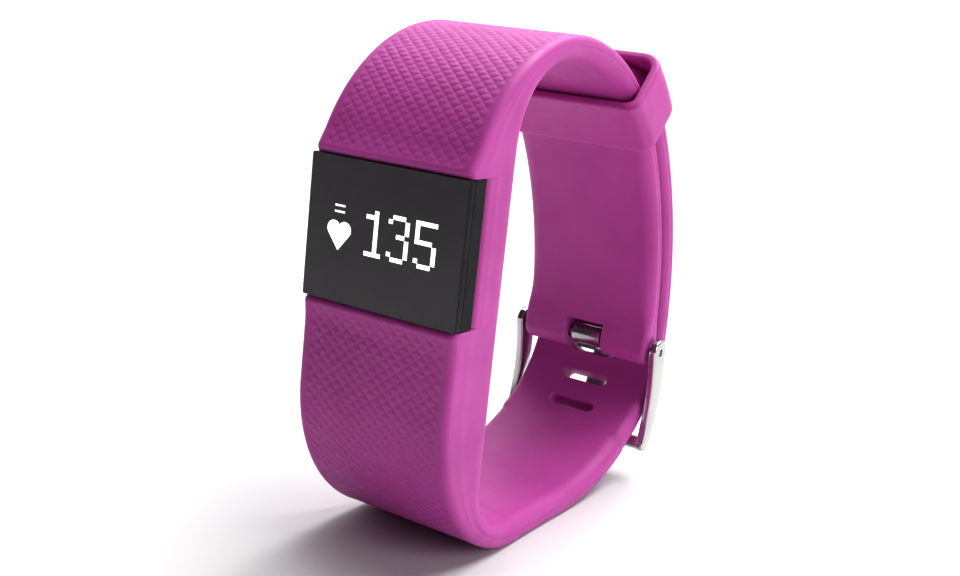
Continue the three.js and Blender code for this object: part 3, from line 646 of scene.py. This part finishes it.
def build_tongue():
    """A blade from the rolled barrel, through its slot and over the strap to the outer bar."""
    half = TONGUE[1] / 2
    bend = TONGUE_BEND
    orbit0 = BEND_R + TONGUE[2] + half
    orbit1 = NOTCH_ORBIT + TONGUE_REST + half
    outer_h = SLOT_RADIAL + math.degrees((bend + half) / orbit1)
    inner_h = SLOT_RADIAL + math.degrees(half / (orbit1 - half))
    h1 = BAR_H + TONGUE_OVERHANG
    ry, rz = cos(SLOT_RADIAL), -sin(SLOT_RADIAL)
    dy, dz = -sin(SLOT_RADIAL), -cos(SLOT_RADIAL)

    def place(r, v):
        return (BEND_C[0] + ry * r + dy * v, BEND_C[1] + rz * r + dz * v)
    root = (EYE_Y - BEND_C[0]) * ry + (EYE_Z - BEND_C[1]) * rz
    outer, inner = [], []
    n = 36
    for i in range(n + 1):
        t = i / n
        r = orbit0 + (orbit1 - orbit0) * t * t * (3 - 2 * t)
        thin = half * (1 - 0.25 * t * t)
        ho = outer_h + (h1 - outer_h) * t
        hi = inner_h + (h1 - inner_h) * t
        outer.append((BEND_C[0] + (r + thin) * cos(ho), BEND_C[1] - (r + thin) * sin(ho)))
        inner.append((BEND_C[0] + (r - thin) * cos(hi), BEND_C[1] - (r - thin) * sin(hi)))
    knee = [place(orbit0 - bend + (bend + half) * sin(t), bend - (bend + half) * cos(t))
            for t in range(0, 86, 9)]
    outline = [place(root, -half)] + knee + outer + inner[::-1] + [place(root, half)]
    blade = prism("buckle_pin", outline, -TONGUE[0] / 2, TONGUE[0] / 2, 0.22, 4)
    roll = rod("roll", EYE_Y, EYE_Z, EYE_BORE + BARREL[1], -BARREL[0] / 2, BARREL[0] / 2, 0.18, 64)
    boolean(blade, [roll], "UNION")
    boolean(blade, [rod("bore", EYE_Y, EYE_Z, EYE_BORE, -20, 20, steps=48)])
    soften(blade, 32)
    return blade


# ---------------------------------------------------------------- display glyphs
def plate(name, loops, y0=-0.02, y1=0.01):
    """Flat raised marks from closed outlines in the display's plane."""
    pts, faces = [], []
    for loop in loops:
        n, base = len(loop), len(pts)
        pts += [(x, y0, z) for x, z in loop] + [(x, y1, z) for x, z in loop]
        faces.append(tuple(base + i for i in range(n)))
        faces.append(tuple(base + n + i for i in range(n))[::-1])
        faces += [(base + i, base + n + i, base + n + (i + 1) % n, base + (i + 1) % n)
                  for i in range(n)]
    obj = new_object(name, pts, faces, 20)
    outward(obj)
    return obj


DIGITS = {
    "1": ("..#..", "###..", "..#..", "..#..", "..#..", "..#..", "..#..", "..#..", "..#..",
          "####."),
    "3": (".###.", "#...#", "....#", "....#", "..##.", "....#", "....#", "....#", "#...#",
          ".###."),
    "5": ("#####", "#....", "#....", "#....", "####.", "....#", "....#", "....#", "#...#",
          ".###."),
}


def digit(shape, x, z, w, h, gap=0.02):
    """One lit rectangle for each pixel; (x, z) is the lower left corner."""
    loops = []
    rows = DIGITS[shape]
    for i, row in enumerate(rows):
        for k, lit in enumerate(row):
            if lit == "#":
                x0, z0 = x + k * w, z + (len(rows) - 1 - i) * h
                loops.append([(x0 + gap / 2, z0 + gap / 2), (x0 + w - gap / 2, z0 + gap / 2),
                              (x0 + w - gap / 2, z0 + h - gap / 2), (x0 + gap / 2, z0 + h - gap / 2)])
    return loops


def heart(x, z, w, h):
    """Two round lobes and straight lower sides that meet in a tip at (x, z)."""
    r = 0.272 * w
    cx, cz = w / 2 - r, h - r
    start = math.degrees(math.acos(-cx / r))
    stop = math.degrees(math.atan2(cz, cx) - math.asin(r / math.hypot(cx, cz))) - 90
    lobe = [(cx + r * cos(t), cz + r * sin(t)) for t in np.linspace(start, stop, 26)]
    left = [(-u, v) for u, v in lobe[:0:-1]]
    return [(x + u, z + v) for u, v in lobe + [(0.0, 0.0)] + left]


# ---------------------------------------------------------------- materials
def rgb(r, g, b):
    def lin(c):
        c /= 255.0
        return c / 12.92 if c <= 0.04045 else ((c + 0.055) / 1.055) ** 2.4
    return (lin(r), lin(g), lin(b), 1.0)


class Paint:
    """A small builder of node materials in object coordinates."""

    def __init__(self, name):
        self.material = bpy.data.materials.new(name)
        self.material.use_nodes = True
        self.tree = self.material.node_tree
        self.tree.nodes.clear()
        self.out = self.add("ShaderNodeOutputMaterial")
        self.shader = self.add("ShaderNodeBsdfPrincipled")
        self.link(self.shader.outputs["BSDF"], self.out.inputs["Surface"])
        self.coords = self.add("ShaderNodeTexCoord").outputs["Object"]

    def add(self, kind, **values):
        node = self.tree.nodes.new(kind)
        for key, value in values.items():
            setattr(node, key, value)
        return node

    def link(self, a, b):
        self.tree.links.new(a, b)

    def set(self, **values):
        for key, value in values.items():
            self.shader.inputs[key.replace("_", " ")].default_value = value
        return self

    def noise(self, per_metre, detail=3.0, rough=0.5, stretch=(1, 1, 1)):
        mapping = self.add("ShaderNodeMapping")
        mapping.inputs["Scale"].default_value = stretch
        self.link(self.coords, mapping.inputs["Vector"])
        node = self.add("ShaderNodeTexNoise")
        node.inputs["Scale"].default_value = per_metre
        node.inputs["Detail"].default_value = detail
        node.inputs["Roughness"].default_value = rough
        self.link(mapping.outputs["Vector"], node.inputs["Vector"])
        return node.outputs["Fac"]

    def spots(self, per_metre, size):
        node = self.add("ShaderNodeTexVoronoi")
        node.inputs["Scale"].default_value = per_metre
        self.link(self.coords, node.inputs["Vector"])
        return self.ramp(node.outputs["Distance"], ((0.0, 1.0), (size, 0.0)))

    def ramp(self, value, stops):
        node = self.add("ShaderNodeValToRGB")
        ramp = node.color_ramp
        while len(ramp.elements) < len(stops):
            ramp.elements.new(0.5)
        for element, (place, level) in zip(ramp.elements, stops):
            element.position = place
            level = level if isinstance(level, tuple) else (level, level, level, 1.0)
            element.color = level
        self.link(value, node.inputs["Fac"])
        return node.outputs["Color"]

    def mix(self, fac, a, b, mode="MIX"):
        node = self.add("ShaderNodeMix", data_type="RGBA", blend_type=mode)
        for socket, value in ((0, fac), (6, a), (7, b)):
            if isinstance(value, (int, float, tuple)):
                node.inputs[socket].default_value = value
            else:
                self.link(value, node.inputs[socket])
        return node.outputs[2]

    def colour(self, value):
        self.link(value, self.shader.inputs["Base Color"])
        return self

    def rough(self, value, low, high):
        self.link(self.ramp(value, ((0.3, low), (0.7, high))), self.shader.inputs["Roughness"])
        return self

    def bump(self, layers):
        """Layers of (height, strength, distance in metres)."""
        normal = None
        for height, strength, distance in layers:
            node = self.add("ShaderNodeBump")
            node.inputs["Strength"].default_value = strength
            node.inputs["Distance"].default_value = distance
            self.link(height, node.inputs["Height"])
            if normal is not None:
                self.link(normal, node.inputs["Normal"])
            normal = node.outputs["Normal"]
        self.link(normal, self.shader.inputs["Normal"])
        return self


def paint_silicone(name="silicone_orchid", light=(186, 74, 160), dark=(174, 64, 148)):
    p = Paint(name)
    cloud = p.noise(90, 3, 0.5)
    grain = p.noise(5200, 4, 0.6)
    tone = p.mix(p.ramp(cloud, ((0.3, 0.0), (0.7, 1.0))), rgb(*dark), rgb(*light))
    dust = p.spots(1500, 0.045)
    patch = p.ramp(p.noise(260, 2), ((0.55, 0.0), (0.7, 0.35)))
    faint = p.mix(patch, (0, 0, 0, 1), dust)
    p.colour(p.mix(faint, tone, rgb(232, 170, 215)))
    p.rough(p.noise(420, 4, 0.6), 0.44, 0.6)
    p.set(Sheen_Weight=0.12, Sheen_Roughness=0.4, Specular_IOR_Level=0.42,
          Subsurface_Weight=0.12, Subsurface_Scale=0.0012)
    p.shader.inputs["Subsurface Radius"].default_value = (1.0, 0.35, 0.7)
    p.shader.inputs["Sheen Tint"].default_value = rgb(255, 190, 235)
    p.bump(((grain, 0.16, 0.00003), (p.noise(900, 3), 0.1, 0.00006)))
    return p.material


def paint_metal(name, shade=(196, 194, 192), low=0.1, high=0.24, brushed=(1, 1, 1), fine=2600):
    p = Paint(name)
    tone = p.mix(p.ramp(p.noise(150), ((0.35, 0.0), (0.65, 1.0))),
                 rgb(*[c - 10 for c in shade]), rgb(*shade))
    p.colour(tone)
    p.rough(p.noise(fine, 4, 0.6, brushed), low, high)
    p.set(Metallic=1.0)
    p.bump(((p.noise(fine, 4, 0.6, brushed), 0.05, 0.00002), (p.noise(300, 2), 0.06, 0.0001)))
    return p.material


def paint_hard(name, shade, low=0.2, high=0.35, fine=3000, spread=8, bump=0.08, specular=0.5):
    p = Paint(name)
    lighter = [min(255, c + spread) for c in shade]
    p.colour(p.mix(p.ramp(p.noise(240, 3), ((0.35, 0.0), (0.65, 1.0))), rgb(*shade), rgb(*lighter)))
    p.rough(p.noise(fine / 4, 4, 0.6), low, high)
    p.set(Specular_IOR_Level=specular)
    p.bump(((p.noise(fine, 4, 0.6), bump, 0.00003),))
    return p.material


def paint_board(name):
    p = Paint(name)
    traces = p.add("ShaderNodeTexBrick")
    traces.inputs["Scale"].default_value = 700
    traces.inputs["Mortar Size"].default_value = 0.025
    traces.inputs["Color1"].default_value = rgb(16, 66, 44)
    traces.inputs["Color2"].default_value = rgb(20, 78, 52)
    traces.inputs["Mortar"].default_value = rgb(44, 112, 74)
    turn = p.add("ShaderNodeMapping")
    turn.inputs["Rotation"].default_value = (math.radians(90), 0, 0)
    p.link(p.coords, turn.inputs["Vector"])
    p.link(turn.outputs["Vector"], traces.inputs["Vector"])
    p.colour(traces.outputs["Color"])
    p.rough(p.noise(600), 0.3, 0.5)
    p.bump(((traces.outputs["Fac"], 0.2, 0.00004), (p.noise(3000), 0.08, 0.00002)))
    return p.material


def paint_lens(name):
    p = Paint(name)
    smear = p.noise(160, 4, 0.65, (1, 1, 2.4))
    p.colour(p.mix(p.ramp(smear, ((0.4, 0.0), (0.75, 1.0))), rgb(72, 68, 72), rgb(78, 74, 78)))
    p.rough(smear, 0.3, 0.42)
    p.set(Specular_IOR_Level=0.28)
    p.bump(((p.noise(3500, 4), 0.03, 0.00002),))
    return p.material


def paint_glow(name, strength):
    p = Paint(name)
    cells = p.spots(9000, 0.5)
    p.colour(p.mix(p.noise(500), rgb(225, 228, 232), rgb(250, 251, 252)))
    p.rough(p.noise(800), 0.3, 0.5)
    p.link(p.mix(cells, rgb(236, 238, 242), rgb(255, 255, 255)), p.shader.inputs["Emission Color"])
    p.set(Emission_Strength=strength)
    p.bump(((cells, 0.05, 0.00001),))
    return p.material


silicone = paint_silicone()
keeper_silicone = paint_silicone("silicone_keeper", (188, 76, 160), (176, 66, 148))
steel = paint_metal("steel_polished")
pin_steel = paint_metal("steel_pin", (186, 184, 182), 0.14, 0.3, (8, 1, 1))
gold = paint_metal("gold_contact", (214, 170, 92), 0.16, 0.3)
lens_black = paint_lens("display_gloss")
case_black = paint_hard("case_satin_black", (15, 12, 16), 0.4, 0.55, specular=0.15)
NODE_PAINT = {
    "front_case": case_black,
    "rear_case": paint_hard("rear_case_black", (24, 22, 25), 0.35, 0.55, bump=0.14),
    "case_gasket": paint_hard("gasket_grey", (58, 58, 60), 0.6, 0.75),
    "oled_panel": paint_hard("panel_glass", (12, 14, 22), 0.06, 0.14, spread=5, bump=0.02),
    "oled_ribbon": paint_hard("ribbon_amber", (168, 104, 34), 0.3, 0.45, spread=18),
    "main_board": paint_board("board_green"),
    "optic_board": paint_board("optic_board_green"),
    "processor_chip": paint_hard("chip_black", (30, 30, 32), 0.45, 0.6),
    "motion_sensor_chip": paint_hard("chip_grey", (42, 42, 45), 0.45, 0.6),
    "antenna_chip": paint_hard("ceramic_cream", (206, 196, 178), 0.3, 0.45),
    "battery_cell": paint_metal("cell_foil", (176, 178, 182), 0.3, 0.5),
    "vibration_motor": paint_metal("motor_can", (170, 170, 174), 0.2, 0.36),
    "pulse_led_upper": paint_hard("led_upper", (120, 216, 120), 0.12, 0.25, spread=20),
    "pulse_led_lower": paint_hard("led_lower", (112, 210, 114), 0.12, 0.25, spread=20),
    "pulse_photodiode": paint_hard("diode_dark", (26, 24, 44), 0.08, 0.16),
    "sensor_window": paint_hard("sensor_window_smoke", (14, 14, 16), 0.05, 0.12, bump=0.02),
    "charge_contact_left": gold,
    "charge_contact_right": gold,
    "spring_bar_tube": paint_metal("bar_tube_steel", (178, 176, 174), 0.16, 0.32, (12, 1, 1)),
    "spring_bar_tip_left": paint_metal("tip_left_steel", (150, 149, 148), 0.2, 0.36),
    "spring_bar_tip_right": paint_metal("tip_right_steel", (150, 149, 148), 0.2, 0.36),
    "spring_bar_spring": paint_metal("spring_wire", (160, 160, 164), 0.2, 0.34),
}


def dress(obj, material):
    obj.data.materials.clear()
    obj.data.materials.append(material)


for node, material in NODE_PAINT.items():
    for slot_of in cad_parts[node].material_slots:
        slot_of.material = material


def place(piece, body, finish, material, *nodes):
    dress(piece, material)
    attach(piece, body)
    if nodes:
        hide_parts(*nodes)


# ---------------------------------------------------------------- assembly
place(build_band(), "band", "silicone", silicone, "band_body")
place(build_keeper(), "keeper", "silicone", keeper_silicone, "keeper_loop")
place(build_frame(), "buckle", "polished_steel", steel, "buckle_frame")
place(build_tongue(), "tongue", "polished_steel", pin_steel, "buckle_tongue")
display = slab("display_front", BAND_WIDTH, DISPLAY_HEIGHT, 0.0, LENS, 0.22, 0.06, 4, edge_back=0.03)
place(display, "tracker", "lens_black", lens_black, "display_lens")
# painted shade: the glass's sides get a near-black copy, darker than its front only because of how the
# light falls there
display.data.materials.append(paint_hard("display_side_painted_shade", (15, 12, 16), 0.4, 0.55, specular=0.15))
# front faces keep the lighter glass colour, every side face takes the painted shade
for face in display.data.polygons:
    face.material_index = 0 if abs(face.normal.y) > 0.9 else 1

PIXEL = (0.535, 0.484)          # width and height of a pixel
DIGIT_LOW = -2.03
HEART_TIP, HEART_SIZE = (-5.65, -2.15), (3.15, 3.1)
BAR_ENDS, BAR_HEIGHTS, BAR_HALF = (-6.4, -5.08), (2.58, 1.93), 0.1
glow = paint_glow("lit_white", 1.6)
for label, shape, x in (("hundreds", "1", -2.21), ("tens", "3", 0.66), ("units", "5", 4.08)):
    place(plate("mark_" + label, digit(shape, x, DIGIT_LOW, *PIXEL)), "tracker",
          "display_glass", glow)
place(plate("mark_heart", [heart(*HEART_TIP, *HEART_SIZE)]), "tracker", "display_glass", glow)
left_end, right_end = BAR_ENDS
bars = [[(left_end, z - BAR_HALF), (right_end, z - BAR_HALF), (right_end, z + BAR_HALF),
         (left_end, z + BAR_HALF)] for z in BAR_HEIGHTS]
place(plate("mark_bars", bars), "tracker", "display_glass", glow)

# ---------------------------------------------------------------- floor, light and camera
BACKDROP_TURN = 31.8            # degrees, square to the camera


def sweep(name, width=12.0, near=-12.0, far=1.6, radius=0.8, top=3.0):
    """A floor that curves up into a plain backdrop behind the object."""
    profile = [(near, 0.0), (0.0, 0.0), (far, 0.0)]
    profile += [(far + radius * sin(t), radius * (1 - cos(t))) for t in range(6, 91, 6)]
    profile.append((far + radius, top))
    turn = Matrix.Rotation(math.radians(BACKDROP_TURN), 4, "Z")
    points = [tuple(turn @ Vector((x, y, z))) for y, z in profile for x in (-width, width)]
    faces = [(2 * i, 2 * i + 1, 2 * i + 3, 2 * i + 2) for i in range(len(profile) - 1)]
    return new_object(name, points, faces, 60, local=True)


floor = sweep("floor")
floor_paint = Paint("floor_white")
floor_paint.colour(floor_paint.mix(floor_paint.noise(3), (0.66, 0.66, 0.66, 1),
                                   (0.68, 0.68, 0.68, 1)))
floor_paint.rough(floor_paint.noise(8), 0.7, 0.8)
# the far stage glows, so that it stays pale wherever the lamps don't reach
reach = floor_paint.add("ShaderNodeVectorMath", operation="LENGTH")
floor_paint.link(floor_paint.add("ShaderNodeNewGeometry").outputs["Position"], reach.inputs[0])
far_glow = floor_paint.add("ShaderNodeMapRange", interpolation_type="SMOOTHSTEP")
far_glow.inputs["From Min"].default_value = 0.35
far_glow.inputs["From Max"].default_value = 1.6
far_glow.inputs["To Max"].default_value = 0.85
floor_paint.link(reach.outputs["Value"], far_glow.inputs["Value"])
floor_paint.link(far_glow.outputs["Result"], floor_paint.shader.inputs["Emission Strength"])
floor_paint.shader.inputs["Emission Color"].default_value = (1, 1, 1, 1)
dress(floor, floor_paint.material)

CAMERA_AT = Vector((72.42, -124.58, 59.02)) * MM
RIGHT = Vector((0.8318, 0.5448, 0.1061))
DOWN = Vector((0.2063, -0.126, -0.9703))
camera_data = bpy.data.cameras.new("camera")
camera_data.lens = 45.0
camera_data.sensor_width = 36.0
camera_data.clip_start = 0.005
camera = bpy.data.objects.new("camera", camera_data)
bpy.context.scene.collection.objects.link(camera)
right = RIGHT.normalized()
up = (-DOWN - right * (-DOWN).dot(right)).normalized()
back = right.cross(up)
basis = Matrix((right, up, back)).transposed().to_4x4()
camera.matrix_world = Matrix.Translation(CAMERA_AT) @ basis
bpy.context.scene.camera = camera

def soft_light(name, at, size, power, aim=(0, 0, 0.03)):
    data = bpy.data.lights.new(name, "AREA")
    data.shape = "RECTANGLE"
    data.size, data.size_y = size
    data.energy = power
    lamp = bpy.data.objects.new(name, data)
    bpy.context.scene.collection.objects.link(lamp)
    lamp.location = Vector(at)
    lamp.rotation_euler = (Vector(aim) - lamp.location).to_track_quat("-Z", "Y").to_euler()


soft_light("top_soft", (0.06, 0.2, 0.56), (0.5, 0.5), 6.4)
soft_light("right_soft", (0.55, -0.02, 0.26), (0.35, 0.35), 1.6)
soft_light("backdrop_wash", (-0.5, 0.7, 1.5), (1.2, 1.2), 20.0, aim=(-1.1, 1.9, 0.2))

world = bpy.data.worlds.new("studio")
bpy.context.scene.world = world
world.use_nodes = True
backdrop = world.node_tree.nodes["Background"]
backdrop.inputs["Color"].default_value = (1, 1, 1, 1)
backdrop.inputs["Strength"].default_value = 0.06
bpy.context.scene.view_settings.view_transform = "Standard"
bpy.context.scene.view_settings.gamma = 0.85
